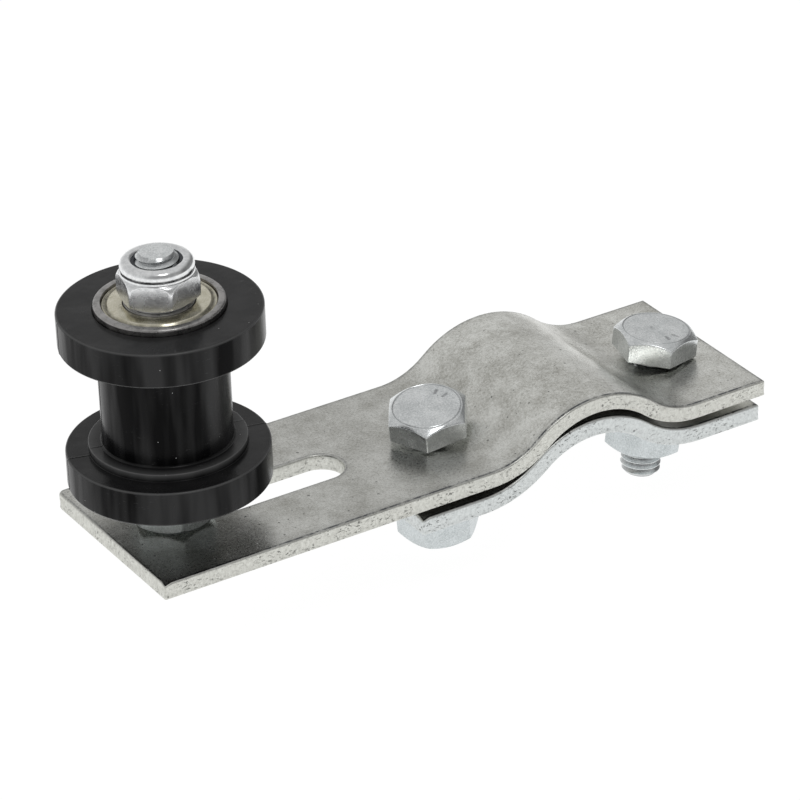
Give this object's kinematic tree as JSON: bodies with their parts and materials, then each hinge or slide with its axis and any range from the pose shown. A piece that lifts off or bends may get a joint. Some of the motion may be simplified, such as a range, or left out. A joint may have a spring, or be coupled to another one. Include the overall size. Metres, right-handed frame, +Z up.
{
  "type": "chain tensioner roller",
  "caption": "Grooved guide roller on ball bearings, standing on a slotted steel arm that clamps over a tube with a second bent plate.",
  "frame": {"origin": "on the centre line of the tube that the clamp grips, at the middle of the plates' width", "axes": "+Y along the tube, +X along the arm away from the roller, +Z up through the clamp bolts and the roller's axle"},
  "size_m": [0.1374, 0.041, 0.0798],
  "materials": {
    "arm_steel": "satin zinc, mottled",
    "clamp_steel": "satin zinc, mottled",
    "zinc_bolts": "bright zinc",
    "zinc_nuts": "bright zinc",
    "bright_zinc": "polished zinc",
    "nyloc_nylon": "smooth",
    "spacer_steel": "turned",
    "bearing_steel": "ground",
    "oiled_steel": "ground, dark with oil",
    "oiled_shield": "satin, dark with oil",
    "ball_steel": "polished",
    "cage_steel": "pressed",
    "shield_steel": "satin, warm",
    "black_nylon": "moulded, satin"
  },
  "bodies": {
    "bracket": {"arm_plate": "arm_steel", "clamp_bolt_front": "zinc_bolts", "clamp_bolt_rear": "zinc_bolts", "clamp_nut_front": "zinc_nuts"},
    "clamp": {"clamp_plate": "clamp_steel"},
    "rear_nut": {"clamp_nut_rear": "zinc_nuts"},
    "axle": {"axle_bolt": "zinc_bolts", "axle_washer": "zinc_nuts", "axle_lock_nut": "zinc_nuts", "axle_nyloc_nut": "bright_zinc", "nyloc_insert": "nyloc_nylon", "bearing_spacer": "spacer_steel", "lower_bearing_inner_ring": "oiled_steel", "upper_bearing_inner_ring": "bearing_steel"},
    "roller": {"roller": "black_nylon", "lower_bearing_outer_ring": "oiled_steel", "lower_bearing_outer_shield": "oiled_shield", "lower_bearing_inner_shield": "oiled_shield", "upper_bearing_outer_ring": "bearing_steel", "upper_bearing_outer_shield": "shield_steel", "upper_bearing_inner_shield": "shield_steel"},
    "lower_cage": {"lower_bearing_balls": "ball_steel", "lower_bearing_cage": "cage_steel"},
    "upper_cage": {"upper_bearing_balls": "ball_steel", "upper_bearing_cage": "cage_steel"}
  },
  "joints": [
    {"name": "axle_slide", "type": "slide", "parent": "bracket", "child": "axle", "axis": [1, 0, 0], "range_m": [0, 0.03]},
    {"name": "roller_spin", "type": "hinge", "parent": "axle", "child": "roller", "pos_m": [-0.07915, 0, 0.04232], "axis": [0, 0, 1], "continuous": true},
    {"name": "lower_cage_spin", "type": "hinge", "parent": "axle", "child": "lower_cage", "pos_m": [-0.07915, 0, 0.02765], "axis": [0, 0, 1], "continuous": true},
    {"name": "upper_cage_spin", "type": "hinge", "parent": "axle", "child": "upper_cage", "pos_m": [-0.07915, 0, 0.05699], "axis": [0, 0, 1], "continuous": true},
    {"name": "clamp_open", "type": "slide", "parent": "bracket", "child": "clamp", "axis": [0, 0, -1], "range_m": [0, 0.004]},
    {"name": "rear_nut_run", "type": "slide", "parent": "bracket", "child": "rear_nut", "axis": [-0.1079, 0.0419, -0.9933], "range_m": [0, 0.0041]}
  ],
  "couplings": [
    {"joint": "lower_cage_spin", "follows": "roller_spin", "ratio": 0.6233},
    {"joint": "upper_cage_spin", "follows": "roller_spin", "ratio": 0.6233},
    {"joint": "rear_nut_run", "follows": "clamp_open", "ratio": 1}
  ]
}
